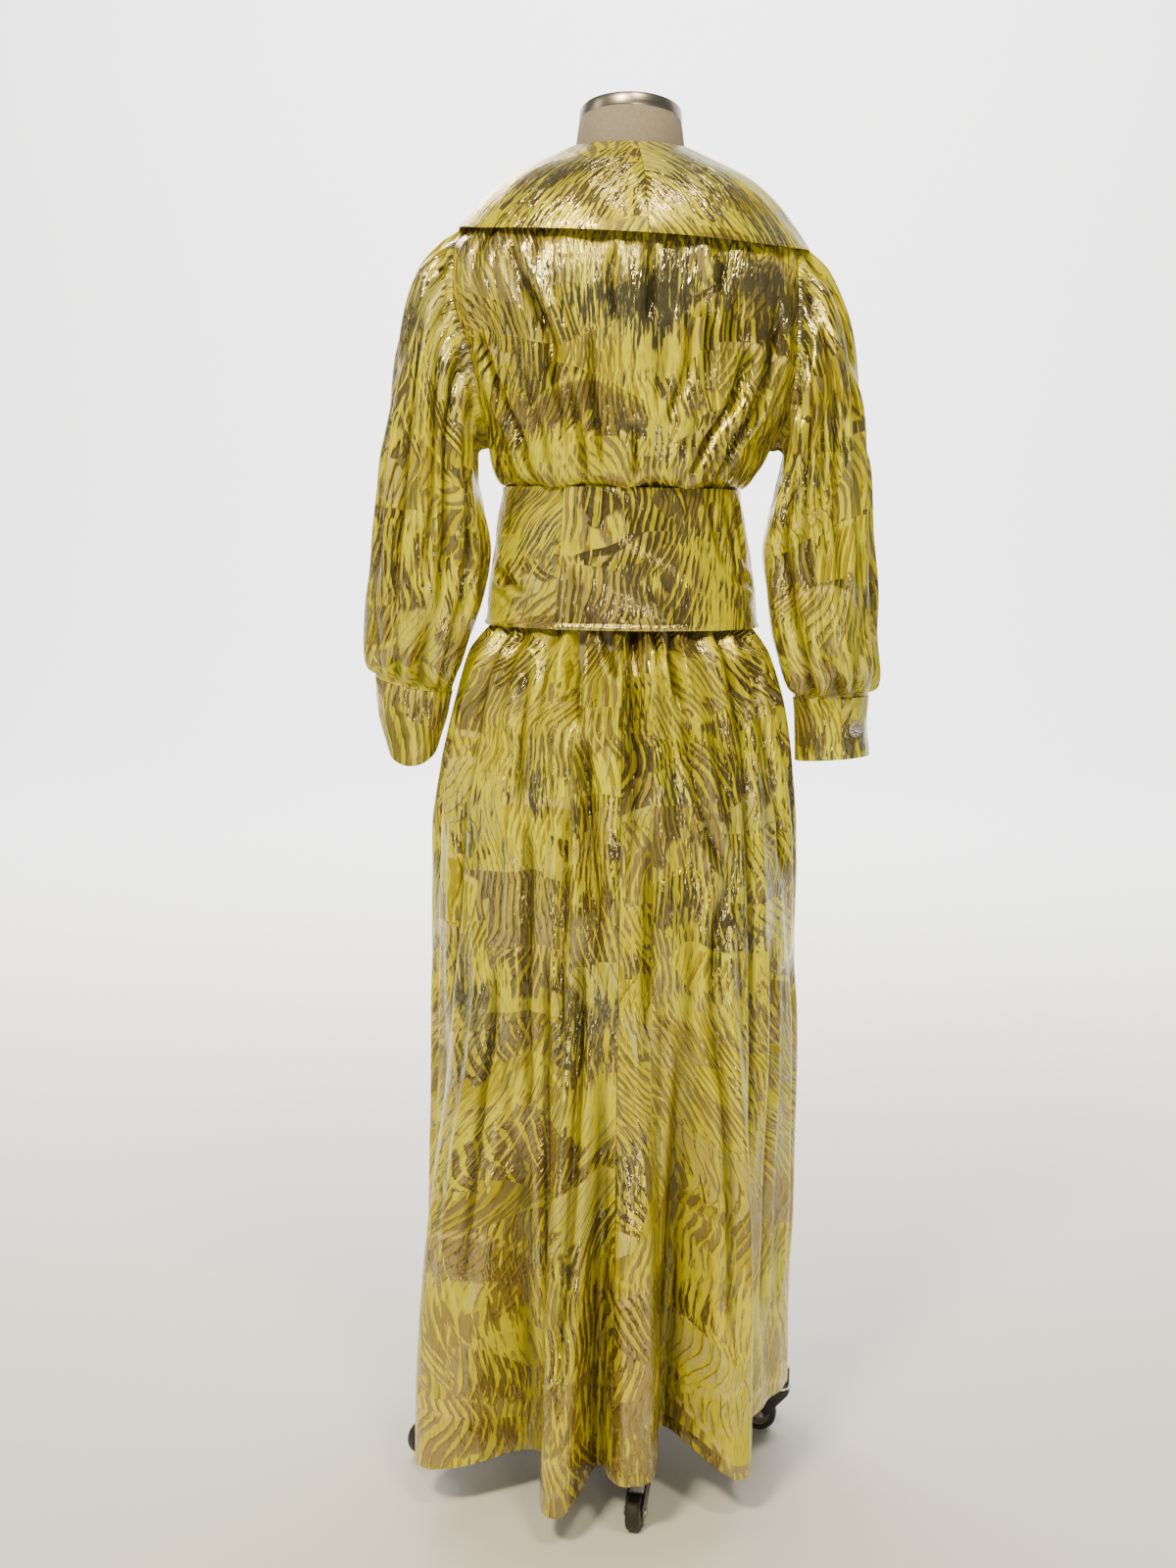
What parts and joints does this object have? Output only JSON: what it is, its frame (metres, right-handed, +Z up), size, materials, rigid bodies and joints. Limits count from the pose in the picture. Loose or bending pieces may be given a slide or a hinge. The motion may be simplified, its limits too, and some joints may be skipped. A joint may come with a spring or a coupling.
{
  "type": "evening gown on dress form",
  "caption": "Long-sleeved, wide-collared, belted full-length gown with gathered skirt and sleeves, worn by a limbless dress form on a wheeled stand.",
  "frame": {"origin": "on the floor, below the middle of the dress form's torso and stand", "axes": "+Z up; the gown's back faces -Y and its front +Y; +X is the wearer's right side"},
  "size_m": [0.5366, 0.5102, 1.4452],
  "materials": {
    "brocade": "yellow and gold-grey metallic brocade with crinkled ribs",
    "linen": "greige linen over a moulded torso",
    "steel": "brushed",
    "iron": "black painted",
    "caster": "dark caster tread",
    "rhinestone": "clear stones in silver claws"
  },
  "bodies": {
    "base": {"stand_hub": "iron", "stand_column": "steel", "clamp_screw": "steel", "clamp_knob": "iron", "stand_leg_1": "iron", "stand_leg_2": "iron", "stand_leg_3": "iron", "stand_leg_4": "iron"},
    "form": {"belt": "brocade", "bodice_back": "brocade", "bodice_front_left": "brocade", "bodice_front_right": "brocade", "collar_left": "brocade", "collar_right": "brocade", "cuff_left": "brocade", "cuff_right": "brocade", "skirt_back_left": "brocade", "skirt_back_right": "brocade", "skirt_front": "brocade", "sleeve_left": "brocade", "sleeve_right": "brocade", "form_torso": "linen", "button_left": "rhinestone", "button_right": "rhinestone", "neck_cap": "steel", "form_pole": "steel"},
    "caster_1": {"caster_fork_1": "steel"},
    "wheel_1": {"caster_wheel_1": "caster"},
    "caster_2": {"caster_fork_2": "steel"},
    "wheel_2": {"caster_wheel_2": "caster"},
    "caster_3": {"caster_fork_3": "steel"},
    "wheel_3": {"caster_wheel_3": "caster"},
    "caster_4": {"caster_fork_4": "steel"},
    "wheel_4": {"caster_wheel_4": "caster"}
  },
  "joints": [
    {"name": "form_height", "type": "slide", "parent": "base", "child": "form", "axis": [0, 0, 1], "range_m": [0, 0.2]},
    {"name": "caster_swivel_1", "type": "hinge", "parent": "base", "child": "caster_1", "pos_m": [0.02972, -0.18766, 0.058], "axis": [0, 0, 1], "continuous": true},
    {"name": "wheel_roll_1", "type": "hinge", "parent": "caster_1", "child": "wheel_1", "pos_m": [0.0244, -0.20901, 0.019], "axis": [-0.9703, 0.2419, 0], "continuous": true},
    {"name": "caster_swivel_2", "type": "hinge", "parent": "base", "child": "caster_2", "pos_m": [0.18766, 0.02972, 0.058], "axis": [0, 0, 1], "continuous": true},
    {"name": "wheel_roll_2", "type": "hinge", "parent": "caster_2", "child": "wheel_2", "pos_m": [0.166, 0.03354, 0.019], "axis": [0.1736, 0.9848, 0], "continuous": true},
    {"name": "caster_swivel_3", "type": "hinge", "parent": "base", "child": "caster_3", "pos_m": [-0.02972, 0.18766, 0.058], "axis": [0, 0, 1], "continuous": true},
    {"name": "wheel_roll_3", "type": "hinge", "parent": "caster_3", "child": "wheel_3", "pos_m": [-0.02819, 0.20961, 0.019], "axis": [0.9976, -0.0698, 0], "continuous": true},
    {"name": "caster_swivel_4", "type": "hinge", "parent": "base", "child": "caster_4", "pos_m": [-0.18766, -0.02972, 0.058], "axis": [0, 0, 1], "continuous": true},
    {"name": "wheel_roll_4", "type": "hinge", "parent": "caster_4", "child": "wheel_4", "pos_m": [-0.205, -0.04327, 0.019], "axis": [-0.6157, 0.788, 0], "continuous": true}
  ]
}
